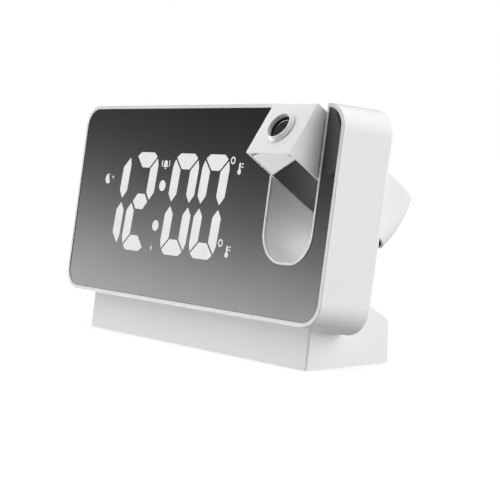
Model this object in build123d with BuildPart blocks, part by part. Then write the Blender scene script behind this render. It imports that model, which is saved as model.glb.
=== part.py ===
from build123d import *

import os
from math import cos, radians, sin, sqrt, tan

# Projection alarm clock: a slim body that leans back on a wedge base. A projector arm
# swings in a U-shaped slot near the body's right end, on two axles.
# Millimetres. X runs to the right along the front, Y to the back and Z up. The origin
# is the centre of the non-slip pad's underside, which rests on the table.

os.makedirs("parts", exist_ok=True)

# ------------------------------------------------------------------ driving sizes
# Body
BODY_W = 185.0  # width
BODY_H = 86.7  # height, measured along the leaning front face
BODY_T = 25.0  # depth, square to the front face
BODY_R = 10.0  # corner radius seen from the front
LEAN = 8.12  # degrees that the body leans back
FLARE = 3.0  # degrees that each side of the housing widens towards the back
LIFT = 17.95  # height of the front face's bottom edge above the table
WALL = 2.0  # housing wall
FIT = 0.15  # gap between pieces that are fixed together
RUN = 0.3  # gap beside a piece that moves
RUNNING_FIT = 0.05  # radial gap of a shaft in its bore

# Front frame and mirror panel
RIM = 1.7  # width of the rim round the mirror panel
LIP = 1.2  # depth of the rim that shows beside the housing
LIP_EDGE = 0.4  # rounding of the rim's outer edge
MOUTH = 0.9  # housing wall where the frame plugs into it
MIRROR_RECESS = 0.3  # mirror panel's face below the rim's
MIRROR_T = 1.5  # mirror panel's thickness
BULKHEAD = 1.5  # frame's plate behind the mirror panel
COLLAR = 0.9  # frame's band round the slot

# Rear cover
COVER_T = 2.8
COVER_EDGE = 1.5  # rounding of the body's back edges

# Projector arm
ARM_FROM_SIDE = 25.45  # arm's middle from the body's right side
ARM_W = 27.25  # width along the axles
ARM_T = 23.5  # from its front face to its back face
ARM_TILT = 63.2  # degrees that the arm stands forward of its closed place
NOSE = 26.07  # lens face from the axles
TAIL_R = 43.55  # tail's end from the axles
ARM_FRONT = 14.8  # arm's front face from the axles
ARM_ROUND = 11.3  # tail's corner radius
ARM_WALL = 1.6
ARM_EDGE = 0.5  # rounding of the arm's edges at the lens face
INLAY_T = 1.5  # dark inlay's thickness
INLAY_BORDER = 0.8  # shell's edge that shows round the inlay
INLAY_RECESS = 0.1
INLAY_ROUND = 4.5  # corner radius of the inlay's end at the lens
PIVOT_V = 15.0  # axles behind the front face
PIVOT_DROP = 20.5  # axles below the body's top edge
SLOT_GAP = 0.8  # between the arm's sides and the slot
TAIL_GAP = 1.45  # between the arm's tail and the slot
TUB_WALL = 1.4  # wall of the slot inside the housing

# Axles and bushes
AXLE_R = 3.0
AXLE_BORE_R = 1.7  # the lamp's leads pass through it
AXLE_TIP = 0.6  # axle beyond the last piece on it
AXLE_FLANGE_R = 4.6
AXLE_FLANGE_T = 1.2
BUSH_R = 4.4
BUSH_FLANGE_R = 6.0
BUSH_FLANGE_T = 1.0
BUSH_L = 3.4  # bush, behind the slot's wall
WASHER_T = 0.4
NUT_R = 4.4
NUT_T = 1.8

# Lens, focus ring and lamp
LENS_R = 4.3
LENS_CELL_R = 5.1
LENS_CELL_L = 11.0
LENS_CELL_SET = 1.6  # lens cell's front end below the focus ring's face
RING_BASE_R = 6.8
RING_TOP_R = 5.75
RING_MOUTH_R = 5.4
RING_H = 1.9
RING_HUB_R = 6.0
BARREL_WALL = 2.2
BARREL_L = 30.0
SLIDE_T = 1.1  # liquid-crystal slide that forms the projected time
SLIDE_W = 13.0
CONDENSER_R = 5.2
CONDENSER_T = 2.6
LENS_EDGE_T = 1.6
LENS_BULGE = 0.8
LENS_SET = 1.0  # lens's edge below the lens cell's front end
LENS_SHOULDER = 0.7  # ledge that the lens seats on
LAMP_BOX = 15.0  # lamp housing, square
LAMP_BOX_L = 9.0
LAMP_BOX_R = 1.0
LAMP_BOARD_T = 1.6
LAMP_R = 2.5

# Display
DISPLAY_LEFT = 17.16  # from the body's left side to the reflector
DISPLAY_RIGHT = 24.67  # from the reflector to the slot
DISPLAY_ENDS = 21.2  # above and below the digits
DISPLAY_DROP = 0.15  # middle of the digits below the body's middle
DIGIT_GAP = 2.5  # between the digits of a pair
COLON_GAP = 11.55  # between the pairs
STROKE_SHARE = 0.306  # width of an upright segment, as a share of the digit's
BAR_SHARE = 0.155  # height of a level segment, as a share of the digit's
NECK_SHARE = 0.75  # these four shape a segment's ends, as shares of the stroke
CORNER_SHARE = 0.76
BAR_TIP_SHARE = 0.31
SIDE_TIP_SHARE = 0.21
SLANT = 0.075  # sideways lean of the digits, as a tangent
SEG_GAP = 0.92  # web between two segments
COLON_R = 2.4
COLON_PITCH = 17.7
COLON_DROP = 1.2  # colon's middle below the digits'
REFLECTOR_T = 6.0
REFLECTOR_MARGIN = 3.7
SHEET_T = 0.25  # diffuser sheet
LED_SIZE = (2.0, 1.25, 0.7)
DISPLAY_BOARD_T = 1.6
BOARD_MARGIN = 10.0  # display board beyond the reflector at its ends
BOARD_SKIRT = 5.0  # display board beyond the reflector above and below

# Main board and what stands on it
MAIN_BOARD_W = 80.0
MAIN_BOARD_X = -22.0
MAIN_BOARD_LOW = 18.0  # its lower edge above the body's bottom edge
MAIN_BOARD_DROP = 7.7  # its upper edge below the body's top edge
MAIN_BOARD_T = 1.6
BOARD_STANDOFF = 5.0  # from the rear cover to the main board
CELL_SIZE = (20.0, 40.0, 5.0)  # rechargeable cell
CELL_R = 1.7
CELL_X = 33.0
CELL_W = 36.0
BUZZER_R = 6.0
BUZZER_T = 4.5
BUZZER_PORT_R = 1.5
BUZZER_PORT_D = 2.2
BUZZER_AT = (-50.0, 30.0)
VENT_X = -50.0
VENT_L = 14.0
VENT_H = 1.6
VENT_PITCH = 3.6
VENT_ROWS = 5
CHIP_SIZE = (12.0, 12.0, 1.4)
CHIP_AT = (-20.0, 38.0)
HEADER_SIZE = (20.0, 3.0)
HEADER_AT = (-8.0, 24.0)

# Keys
KEY_L = 9.0
KEY_H = 5.0
KEY_PROUD = 0.6
KEY_TRAVEL = 0.5
KEY_FLANGE = 0.9  # flange beyond the cap, all round
KEY_FLANGE_T = 1.0
KEY_PITCH = 13.0
KEY_DROP = 20.7  # keys below the body's top edge
KEY_NAMES = ("time_key", "alarm_key", "up_key", "down_key", "projector_key")
SNOOZE_L = 44.0
SNOOZE_D = 9.0
SNOOZE_X = -22.0
SNOOZE_V = 12.6
SNOOZE_SET = 0.2  # snooze bar's top below the housing's
SWITCH = 6.0  # tact switch, square

# Power socket
SOCKET_X = -48.0
SOCKET_LINE = 30.0  # above the body's bottom edge
SOCKET_W = 9.0
SOCKET_H = 3.3
SOCKET_R = 1.6
SOCKET_WALL = 0.3
TONGUE_W = 7.5
TONGUE_T = 0.7
PLUG_W = 13.4  # well in the cover that takes the plug's grip
PLUG_H = 8.0
PLUG_R = 2.7

# Base
BASE_W = 157.6
BASE_D = 43.1
BASE_FOOT_SET = 6.06  # base's front foot behind the body's front bottom edge
BASE_HEAD_V = 8.2  # base's front top edge behind the front face
WEDGE_H = 16.75  # wedge's height up the body's back
BASE_BACK_H = 17.75  # height of the base's rear wall
BASE_BACK_R = 4.0  # rounding above the rear wall
BASE_EDGE = 0.8  # rounding of the base's upright corners
BASE_WALL = 2.0
BASE_PLATE_T = 2.0
PAD_SIZE = (132.0, 28.0)
PAD_R = 4.0
PAD_T = 1.3
PAD_PROUD = 0.3
WEIGHT_SIZE = (112.0, 22.0, 4.0)

# Fasteners
POST_R = 3.0
PILOT_R = 1.1
SCREW_R = 1.05
SCREW_HOLE_R = 1.35
HEAD_R = 2.3
HEAD_T = 1.1
HEAD_WELL_R = 2.6
HEAD_WELL_D = 1.4
SCREW_GAP = 1.0  # below a screw's tip in its post
DISPLAY_SCREW_BITE = 3.0  # thread in the post
REAR_SCREW_BITE = 6.0
BASE_SCREW_BITE = 5.0
STAND_BOSS_H = 4.0  # bosses in the body that take the base's screws
POST_INSET = 8.0  # body's corner posts from its sides

# ------------------------------------------------------------------ worked-out sizes
lean = radians(LEAN)
flare = radians(FLARE)
BODY_Y = -BASE_D / 2 - BASE_FOOT_SET
COVER_V = BODY_T - COVER_T
MIRROR_BACK = MIRROR_RECESS + MIRROR_T
FRAME_D = MIRROR_BACK + BULKHEAD
ARM_X = BODY_W / 2 - ARM_FROM_SIDE
PIVOT_W = BODY_H - PIVOT_DROP
SLOT_W = ARM_W + 2 * SLOT_GAP
SWEEP_R = TAIL_R + TAIL_GAP
SLOT_ROUND = ARM_ROUND + SLOT_GAP
SLOT_LOW = PIVOT_W - sqrt(SWEEP_R**2 - PIVOT_V**2)
MAIN_BOARD_V = COVER_V - BOARD_STANDOFF - MAIN_BOARD_T
MAIN_BOARD_H = BODY_H - MAIN_BOARD_LOW - MAIN_BOARD_DROP
KEY_LINE = BODY_H - KEY_DROP
VENT_AT = (VENT_X, (KEY_LINE + SOCKET_LINE) / 2)
STAND_SCREW_PITCH = BASE_W / 3

# The digits fill the front between the body's left side and the slot.
REFLECTOR_V = MIRROR_BACK + SHEET_T
DISPLAY_BOARD_V = REFLECTOR_V + REFLECTOR_T
REFLECTOR_W = BODY_W - ARM_FROM_SIDE - SLOT_W / 2 - DISPLAY_LEFT - DISPLAY_RIGHT
DISPLAY_X = (REFLECTOR_W - BODY_W) / 2 + DISPLAY_LEFT
DISPLAY_W = BODY_H / 2 - DISPLAY_DROP
DIGIT_H = BODY_H - 2 * DISPLAY_ENDS
REFLECTOR_H = DIGIT_H + 2 * REFLECTOR_MARGIN
DIGITS_W = REFLECTOR_W - 2 * REFLECTOR_MARGIN - DIGIT_H * SLANT
DIGIT_W = (DIGITS_W - COLON_GAP - 2 * DIGIT_GAP) / 4
STROKE = DIGIT_W * STROKE_SHARE
BAR = DIGIT_H * BAR_SHARE
PAIR_PITCH = DIGIT_W + DIGIT_GAP
COLON_SPACE = DIGIT_W + COLON_GAP
DIGIT_XS = (
    DISPLAY_X - COLON_SPACE / 2 - PAIR_PITCH,
    DISPLAY_X - COLON_SPACE / 2,
    DISPLAY_X + COLON_SPACE / 2,
    DISPLAY_X + COLON_SPACE / 2 + PAIR_PITCH,
)
AXIS_R = ARM_T / 2 - ARM_FRONT  # lens axis from the axles, towards the arm's back
BARREL_R = LENS_CELL_R + RUNNING_FIT + BARREL_WALL

# Directions: BACK runs square to the front face, UP along it. ARM_BACK and ARM_NOSE are
# the same two directions in the arm.
BACK = Vector(0, cos(lean), -sin(lean))
UP = Vector(0, sin(lean), cos(lean))
ARM_BACK = BACK * cos(radians(ARM_TILT)) + UP * sin(radians(ARM_TILT))
ARM_NOSE = UP * cos(radians(ARM_TILT)) - BACK * sin(radians(ARM_TILT))
RIGHT = Vector(1, 0, 0)
TOP_UP = UP * cos(flare) - BACK * sin(flare)  # square to the housing's top
SEAT_UP = UP * cos(flare) + BACK * sin(flare)  # square to its underside
STANDING = (Align.CENTER, Align.CENTER, Align.MIN)
HANGING = (Align.CENTER, Align.CENTER, Align.MAX)


def at(x, v, w):
    """The point x to the right, v behind the front face and w up it."""
    return Vector(x, BODY_Y, LIFT) + BACK * v + UP * w


def widening(v):
    """How far the housing has widened v behind the front face."""
    return (v - LIP) * tan(flare)


def face_plane(v):
    """Parallel to the front face and v behind it: local (x, w), facing the viewer."""
    return Plane(origin=at(0, v, 0), x_dir=RIGHT, z_dir=-BACK)


def rear_plane(v):
    """Parallel to the front face and v behind it: local (-x, w), facing the back."""
    return Plane(origin=at(0, v, 0), x_dir=-RIGHT, z_dir=BACK)


def side_plane(x):
    """Square to the width at x: local (v, w)."""
    return Plane(origin=at(x, 0, 0), x_dir=BACK, z_dir=RIGHT)


def in_arm(x, r, t):
    """The point x, r and t from the pivot, along the axles, ARM_BACK and ARM_NOSE."""
    return at(ARM_X, PIVOT_V, PIVOT_W) + RIGHT * x + ARM_BACK * r + ARM_NOSE * t


def arm_side_plane(x):
    """Square to the axles: local (r, t)."""
    return Plane(origin=in_arm(x, 0, 0), x_dir=ARM_BACK, z_dir=RIGHT)


def arm_face_plane(r):
    """Parallel to the arm's front face: local (x, t), facing out of it."""
    return Plane(origin=in_arm(0, r, 0), x_dir=RIGHT, z_dir=-ARM_BACK)


def lens_plane(t):
    """Square to the lens axis and centred on it: local (x, r), facing the lens end."""
    return Plane(origin=in_arm(0, AXIS_R, t), x_dir=RIGHT, z_dir=ARM_NOSE)


# ------------------------------------------------------------------ shared forms
def body_outline(inset):
    """The body's front view, inset by a wall."""
    with Locations((0, BODY_H / 2)):
        RectangleRounded(BODY_W - 2 * inset, BODY_H - 2 * inset, BODY_R - inset)


def flared_block(inset, front, back):
    """The housing's form inset by a wall, between two depths."""
    with BuildPart() as block:
        for v in (front, back):
            with BuildSketch(face_plane(v)):
                body_outline(inset - widening(v))
        loft(ruled=True)
    return block.part


def slot_outline(grow, mode):
    """The slot's front view grown by a wall, running out past the top edge."""
    radius = SLOT_ROUND + grow
    height = BODY_H - SLOT_LOW + grow + 2 * radius
    with Locations((ARM_X, SLOT_LOW - grow + height / 2)):
        RectangleRounded(SLOT_W + 2 * grow, height, radius, mode=mode)


def slot_form(grow):
    """The slot's space grown by a wall: a round-edged wheel about the pivot, open above."""
    half = SLOT_W / 2 + grow
    with BuildPart() as form:
        with BuildSketch(side_plane(ARM_X)):
            with Locations((PIVOT_V, PIVOT_W)):
                Circle(SWEEP_R + grow)
        extrude(amount=half, both=True)
        fillet(form.edges().filter_by(GeomType.CIRCLE), SLOT_ROUND + grow)
        with BuildSketch(side_plane(ARM_X)):
            with Locations((PIVOT_V, PIVOT_W)):
                Rectangle(2 * BODY_T, 2 * PIVOT_DROP, align=(Align.CENTER, Align.MIN))
        extrude(amount=half, both=True)
    return form.part


def arm_form(inset):
    """The arm's block inset by a wall: its tail is the slot's wheel, less the gaps."""
    half = ARM_W / 2 - inset
    with BuildPart() as form:
        with BuildSketch(arm_side_plane(0)):
            Circle(TAIL_R - inset)
        extrude(amount=half, both=True)
        fillet(form.edges().filter_by(GeomType.CIRCLE), ARM_ROUND - inset)
        with BuildSketch(arm_side_plane(0)):
            Rectangle(2 * TAIL_R, NOSE - inset, align=(Align.CENTER, Align.MIN))
        extrude(amount=half, both=True)
        with BuildSketch(arm_side_plane(0)):
            with Locations((-ARM_FRONT, -TAIL_R)):
                Rectangle(ARM_T - inset, TAIL_R + NOSE - inset, align=(Align.MIN, Align.MIN))
        extrude(amount=ARM_W, both=True, mode=Mode.INTERSECT)
    return form.part


def key_blank(plane, length, depth, cap_h):
    """A key: a round-ended cap whose top lies on the plane, on a wider flange."""
    with BuildPart() as blank:
        with BuildSketch(plane):
            SlotOverall(length, depth)
        extrude(amount=-cap_h)
        fillet(blank.faces().sort_by(Axis(plane.origin, plane.z_dir))[-1].edges(), RUN)
        with BuildSketch(plane.offset(-cap_h)):
            SlotOverall(length + 2 * KEY_FLANGE, depth + 2 * KEY_FLANGE)
        extrude(amount=-KEY_FLANGE_T)
    return blank


def screw_group(plane, points, head_seat, length):
    """Screws whose heads seat head_seat below the plane, all length long."""
    with BuildPart() as group:
        with Locations(plane.offset(-head_seat)):
            with Locations(*points):
                Cylinder(HEAD_R, HEAD_T, align=STANDING)
                Cylinder(SCREW_R, length, align=HANGING)
    return group


slot_space = slot_form(0)

POSTS = (
    (-BODY_W / 2 + POST_INSET, POST_INSET),
    (-BODY_W / 2 + POST_INSET, BODY_H - POST_INSET),
    (ARM_X - SLOT_W / 2 - COLLAR - POST_INSET, BODY_H - POST_INSET),
    (ARM_X - SLOT_W / 2 - COLLAR - POST_INSET, POST_INSET),
    (BODY_W / 2 - POST_INSET, POST_INSET),
)
POSTS_SEEN_FROM_BEHIND = [(-x, w) for x, w in POSTS]

# ------------------------------------------------------------------ front frame
# The rim and the slot's collar stand round the pocket that holds the mirror panel. Behind
# the pocket a bulkhead carries the display, and five posts run back to the rear cover.
BOARD_W = REFLECTOR_W + 2 * BOARD_MARGIN
BOARD_H = REFLECTOR_H + 2 * BOARD_SKIRT
BOARD_POST_X = BOARD_W / 2 - POST_R
BOARD_POST_W = BOARD_H / 2 - POST_R
BOARD_POSTS = [
    (DISPLAY_X + sx * BOARD_POST_X, DISPLAY_W + sw * BOARD_POST_W)
    for sx in (-1, 1)
    for sw in (-1, 1)
]
BOARD_POSTS_SEEN_FROM_BEHIND = [(-x, w) for x, w in BOARD_POSTS]

with BuildPart() as front_frame:
    with BuildSketch(face_plane(LIP)):
        body_outline(0)
    extrude(amount=LIP)
    fillet(front_frame.faces().sort_by(Axis((0, 0, 0), -BACK))[-1].edges(), LIP_EDGE)
    with BuildSketch(face_plane(LIP)):
        body_outline(MOUTH + FIT)
    extrude(amount=-(FRAME_D - LIP))
    with BuildSketch(face_plane(0)):
        body_outline(RIM)
        slot_outline(COLLAR, Mode.SUBTRACT)
    extrude(amount=-MIRROR_BACK, mode=Mode.SUBTRACT)
    with BuildSketch(face_plane(MIRROR_BACK)):
        with Locations((DISPLAY_X, DISPLAY_W)):
            Rectangle(REFLECTOR_W + 2 * FIT, REFLECTOR_H + 2 * FIT)
    extrude(amount=-BULKHEAD, mode=Mode.SUBTRACT)
    add(slot_space, mode=Mode.SUBTRACT)
    with BuildSketch(face_plane(FRAME_D)):
        with Locations(*POSTS):
            Circle(POST_R)
    extrude(amount=-(COVER_V - FRAME_D))
    with BuildSketch(face_plane(FRAME_D)):
        with Locations(*BOARD_POSTS):
            Circle(POST_R)
    extrude(amount=-(DISPLAY_BOARD_V - FRAME_D))
    with BuildSketch(face_plane(FRAME_D)):
        with Locations(*POSTS, *BOARD_POSTS):
            Circle(PILOT_R)
    extrude(amount=-(COVER_V - FRAME_D), mode=Mode.SUBTRACT)

with BuildPart() as mirror_panel:
    with BuildSketch(face_plane(MIRROR_RECESS)):
        body_outline(RIM + FIT)
        slot_outline(COLLAR + FIT, Mode.SUBTRACT)
    extrude(amount=-MIRROR_T)


# ------------------------------------------------------------------ display
# Seven-segment digits: light from one lamp chip fills each cavity of the reflector and
# shows through the mirror panel.
def digit_segments():
    """Outlines of an upright digit's seven segments, about its middle."""
    half_w = DIGIT_W / 2
    half_h = DIGIT_H / 2
    inner = half_w - STROKE
    level = half_h - BAR
    neck = STROKE * NECK_SHARE
    corner = half_w - STROKE * CORNER_SHARE
    bar_end = inner - SEG_GAP
    bar_cut = level - bar_end
    side_cut = bar_cut - SEG_GAP * sqrt(2)
    bar_tip = half_w - STROKE * BAR_TIP_SHARE
    side_tip = half_w - STROKE * SIDE_TIP_SHARE
    top = [
        (-bar_tip, bar_tip + bar_cut),
        (-corner, half_h),
        (corner, half_h),
        (bar_tip, bar_tip + bar_cut),
        (bar_end, level),
        (-bar_end, level),
    ]
    side = [
        (side_tip, side_tip + side_cut),
        (half_w, half_h - STROKE),
        (half_w, neck),
        (half_w - STROKE / 2, SEG_GAP),
        (inner, neck),
        (inner, inner + side_cut),
    ]
    middle = [(half_w - STROKE / 2 - SEG_GAP, 0), (bar_end, BAR / 2)]
    middle += [(-x, w) for x, w in reversed(middle)]
    middle += [(-bar_end, -BAR / 2), (bar_end, -BAR / 2)]
    outlines = [top, [(x, -w) for x, w in top], middle]
    outlines += [[(sx * x, sw * w) for x, w in side] for sx in (-1, 1) for sw in (-1, 1)]
    return outlines


SEGMENTS = [
    [(x + SLANT * w, DISPLAY_W + w) for x, w in outline] for outline in digit_segments()
]
SEGMENT_MIDDLES = [
    (sum(x for x, w in outline) / len(outline), sum(w for x, w in outline) / len(outline))
    for outline in SEGMENTS
]
COLON_RISES = (-COLON_DROP - COLON_PITCH / 2, -COLON_DROP + COLON_PITCH / 2)
COLON_DOTS = [(DISPLAY_X + SLANT * rise, DISPLAY_W + rise) for rise in COLON_RISES]

with BuildPart() as diffuser_sheet:
    with BuildSketch(face_plane(MIRROR_BACK)):
        with Locations((DISPLAY_X, DISPLAY_W)):
            Rectangle(REFLECTOR_W, REFLECTOR_H)
    extrude(amount=-SHEET_T)

with BuildPart() as segment_reflector:
    with BuildSketch(face_plane(REFLECTOR_V)):
        with Locations((DISPLAY_X, DISPLAY_W)):
            Rectangle(REFLECTOR_W, REFLECTOR_H)
        for digit_x in DIGIT_XS:
            with Locations((digit_x, 0)):
                for outline in SEGMENTS:
                    Polygon(*outline, align=None, mode=Mode.SUBTRACT)
        with Locations(*COLON_DOTS):
            Circle(COLON_R, mode=Mode.SUBTRACT)
    extrude(amount=-REFLECTOR_T)

with BuildPart() as display_board:
    with BuildSketch(face_plane(DISPLAY_BOARD_V)):
        with Locations((DISPLAY_X, DISPLAY_W)):
            Rectangle(BOARD_W, BOARD_H)
        with Locations(*BOARD_POSTS):
            Circle(SCREW_HOLE_R, mode=Mode.SUBTRACT)
    extrude(amount=-DISPLAY_BOARD_T)

with BuildPart() as segment_leds:
    with BuildSketch(face_plane(DISPLAY_BOARD_V)):
        for digit_x in DIGIT_XS:
            with Locations(*[(digit_x + x, w) for x, w in SEGMENT_MIDDLES]):
                Rectangle(LED_SIZE[0], LED_SIZE[1])
        with Locations(*COLON_DOTS):
            Rectangle(LED_SIZE[0], LED_SIZE[1])
    extrude(amount=LED_SIZE[2])

display_screws = screw_group(
    rear_plane(DISPLAY_BOARD_V + DISPLAY_BOARD_T),
    BOARD_POSTS_SEEN_FROM_BEHIND,
    0,
    DISPLAY_BOARD_T + DISPLAY_SCREW_BITE,
)

# ------------------------------------------------------------------ housing
# A ring between the frame and the cover, with the slot's tub standing in it.
with BuildPart() as tub:
    add(flared_block(0, FRAME_D, COVER_V))
    add(slot_form(TUB_WALL), mode=Mode.INTERSECT)

STAND_SCREW_V = (BASE_HEAD_V + BODY_T) / 2
STAND_SCREWS = [(x * STAND_SCREW_PITCH, 0) for x in (-1, 0, 1)]


def seat_plane(w):
    """Parallel to the housing's underside and w above it: local (x, v)."""
    origin = at(0, STAND_SCREW_V, -widening(STAND_SCREW_V)) + SEAT_UP * w
    return Plane(origin=origin, x_dir=RIGHT, z_dir=SEAT_UP)


snooze_top = at(SNOOZE_X, SNOOZE_V, BODY_H + widening(SNOOZE_V))
snooze_plane = Plane(origin=snooze_top - TOP_UP * SNOOZE_SET, x_dir=RIGHT, z_dir=TOP_UP)

with BuildPart() as main_housing:
    add(flared_block(0, LIP, COVER_V))
    with BuildSketch(face_plane(LIP)):
        body_outline(MOUTH)
    extrude(amount=-(FRAME_D - LIP), mode=Mode.SUBTRACT)
    add(flared_block(WALL, FRAME_D, COVER_V), mode=Mode.SUBTRACT)
    add(tub.part)
    add(slot_space, mode=Mode.SUBTRACT)
    # holes for the axles' bushes
    with BuildSketch(side_plane(ARM_X)):
        with Locations((PIVOT_V, PIVOT_W)):
            Circle(BUSH_R + RUNNING_FIT)
    extrude(amount=SLOT_W / 2 + 2 * TUB_WALL, both=True, mode=Mode.SUBTRACT)
    # opening for the snooze bar
    with BuildSketch(snooze_plane):
        SlotOverall(SNOOZE_L + 2 * RUN, SNOOZE_D + 2 * RUN)
    extrude(amount=2 * WALL, both=True, mode=Mode.SUBTRACT)
    # bosses that take the base's screws
    with BuildSketch(seat_plane(0)):
        with Locations(*STAND_SCREWS):
            Circle(POST_R)
    extrude(amount=WALL + STAND_BOSS_H)
    with BuildSketch(seat_plane(0)):
        with Locations(*STAND_SCREWS):
            Circle(PILOT_R)
    extrude(amount=WALL + STAND_BOSS_H, mode=Mode.SUBTRACT)

# ------------------------------------------------------------------ rear cover
KEY_X0 = MAIN_BOARD_X - KEY_PITCH * (len(KEY_NAMES) - 1) / 2
KEY_POINTS = [(KEY_X0 + KEY_PITCH * i, KEY_LINE) for i in range(len(KEY_NAMES))]
MAIN_MIDDLE = (MAIN_BOARD_X, MAIN_BOARD_LOW + MAIN_BOARD_H / 2)
MAIN_POST_X = MAIN_BOARD_W / 2 - POST_R
MAIN_POST_W = MAIN_BOARD_H / 2 - POST_R
MAIN_POSTS = [
    (MAIN_MIDDLE[0] + sx * MAIN_POST_X, MAIN_MIDDLE[1] + sw * MAIN_POST_W)
    for sx in (-1, 1)
    for sw in (-1, 1)
]

with BuildPart() as rear_cover:
    add(flared_block(0, COVER_V, BODY_T))
    fillet(rear_cover.faces().sort_by(Axis((0, 0, 0), BACK))[-1].edges(), COVER_EDGE)
    add(slot_space, mode=Mode.SUBTRACT)
    # posts for the main board
    with BuildSketch(face_plane(COVER_V)):
        with Locations(*MAIN_POSTS):
            Circle(POST_R)
            Circle(PILOT_R, mode=Mode.SUBTRACT)
    extrude(amount=BOARD_STANDOFF)
    # key holes, plug well and vents
    with BuildSketch(face_plane(COVER_V)):
        with Locations(*KEY_POINTS):
            SlotOverall(KEY_L + 2 * RUN, KEY_H + 2 * RUN)
        with Locations((SOCKET_X, SOCKET_LINE)):
            RectangleRounded(PLUG_W, PLUG_H, PLUG_R)
        with Locations(VENT_AT):
            with GridLocations(VENT_L, VENT_PITCH, 1, VENT_ROWS):
                SlotOverall(VENT_L, VENT_H)
    extrude(amount=-COVER_T, mode=Mode.SUBTRACT)
    with Locations(rear_plane(BODY_T)):
        with Locations(*POSTS_SEEN_FROM_BEHIND):
            CounterBoreHole(SCREW_HOLE_R, HEAD_WELL_R, HEAD_WELL_D, COVER_T)

rear_screws = screw_group(
    rear_plane(BODY_T), POSTS_SEEN_FROM_BEHIND, HEAD_WELL_D, COVER_T + REAR_SCREW_BITE
)

# ------------------------------------------------------------------ main board
KEY_SEAT = RUN + KEY_FLANGE_T + KEY_TRAVEL + RUN  # from the cover's inner face to a switch
SNOOZE_SEAT = WALL + KEY_SEAT  # from the body's top to the snooze switch

with BuildPart() as main_board:
    with BuildSketch(face_plane(MAIN_BOARD_V)):
        with Locations(MAIN_MIDDLE):
            Rectangle(MAIN_BOARD_W, MAIN_BOARD_H)
        with Locations(*MAIN_POSTS):
            Circle(SCREW_HOLE_R, mode=Mode.SUBTRACT)
    extrude(amount=-MAIN_BOARD_T)

main_screws = screw_group(
    face_plane(MAIN_BOARD_V), MAIN_POSTS, 0, MAIN_BOARD_T + BOARD_STANDOFF - SCREW_GAP
)

with BuildPart() as tact_switches:
    with BuildSketch(face_plane(MAIN_BOARD_V + MAIN_BOARD_T)):
        with Locations(*KEY_POINTS):
            Rectangle(SWITCH, SWITCH)
    extrude(amount=-(BOARD_STANDOFF - KEY_SEAT))
    # the snooze switch stands over the board's top edge, on its front face
    with BuildSketch(face_plane(MAIN_BOARD_V)):
        with Locations((SNOOZE_X, BODY_H + widening(SNOOZE_V) - SNOOZE_SEAT)):
            Rectangle(SWITCH, SWITCH, align=(Align.CENTER, Align.MAX))
    extrude(amount=SWITCH / 2)

with BuildPart() as control_chip:
    with BuildSketch(face_plane(MAIN_BOARD_V)):
        with Locations(CHIP_AT):
            Rectangle(CHIP_SIZE[0], CHIP_SIZE[1])
    extrude(amount=CHIP_SIZE[2])

with BuildPart() as buzzer:
    with BuildSketch(face_plane(MAIN_BOARD_V)):
        with Locations(BUZZER_AT):
            Circle(BUZZER_R)
    extrude(amount=BUZZER_T)
    with BuildSketch(face_plane(MAIN_BOARD_V - BUZZER_T)):
        with Locations(BUZZER_AT):
            Circle(BUZZER_PORT_R)
    extrude(amount=-BUZZER_PORT_D, mode=Mode.SUBTRACT)

with BuildPart() as board_header:
    with BuildSketch(face_plane(MAIN_BOARD_V)):
        with Locations(HEADER_AT):
            Rectangle(HEADER_SIZE[0], HEADER_SIZE[1])
    extrude(amount=MAIN_BOARD_V - DISPLAY_BOARD_V - DISPLAY_BOARD_T)

with BuildPart() as battery_cell:
    with BuildSketch(face_plane(COVER_V)):
        with Locations((CELL_X, CELL_W)):
            RectangleRounded(CELL_SIZE[0], CELL_SIZE[1], CELL_R)
    extrude(amount=CELL_SIZE[2])

SOCKET_BORE_W = SOCKET_W - 2 * SOCKET_WALL
SOCKET_BORE_H = SOCKET_H - 2 * SOCKET_WALL

with BuildPart() as power_socket:
    with BuildSketch(face_plane(COVER_V - RUN)):
        with Locations((SOCKET_X, SOCKET_LINE)):
            RectangleRounded(SOCKET_W, SOCKET_H, SOCKET_R)
    extrude(amount=BOARD_STANDOFF - RUN)
    with BuildSketch(face_plane(COVER_V - RUN)):
        with Locations((SOCKET_X, SOCKET_LINE)):
            RectangleRounded(SOCKET_BORE_W, SOCKET_BORE_H, SOCKET_R - SOCKET_WALL)
            Rectangle(TONGUE_W, TONGUE_T, mode=Mode.SUBTRACT)
    extrude(amount=BOARD_STANDOFF - 2 * RUN, mode=Mode.SUBTRACT)

# ------------------------------------------------------------------ keys
key_parts = {}
for key_name, (key_x, key_w) in zip(KEY_NAMES, KEY_POINTS):
    key_origin = at(key_x, BODY_T + KEY_PROUD, key_w)
    key_plane = Plane(origin=key_origin, x_dir=-RIGHT, z_dir=BACK)
    key_parts[key_name] = key_blank(key_plane, KEY_L, KEY_H, KEY_PROUD + COVER_T + RUN)

snooze_bar = key_blank(snooze_plane, SNOOZE_L, SNOOZE_D, WALL - SNOOZE_SET + RUN)

# ------------------------------------------------------------------ base
BODY_LOW_BACK = at(0, BODY_T, -widening(BODY_T))
BASE_HEAD = at(0, BASE_HEAD_V, -widening(BASE_HEAD_V))
WEDGE_TOP = at(0, BODY_T, WEDGE_H)
FRONT_LEAN = (BASE_HEAD.Y + BASE_D / 2) / (BASE_HEAD.Z - PAD_PROUD)  # back per unit up
BASE_PLATE_FRONT = -BASE_D / 2 + BASE_WALL + FRONT_LEAN * BASE_PLATE_T
BASE_PLATE_D = BASE_D / 2 - BASE_WALL - BASE_PLATE_FRONT
BASE_PLATE_Z = PAD_PROUD + BASE_PLATE_T
BASE_INNER_W = BASE_W - 2 * BASE_WALL


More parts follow.
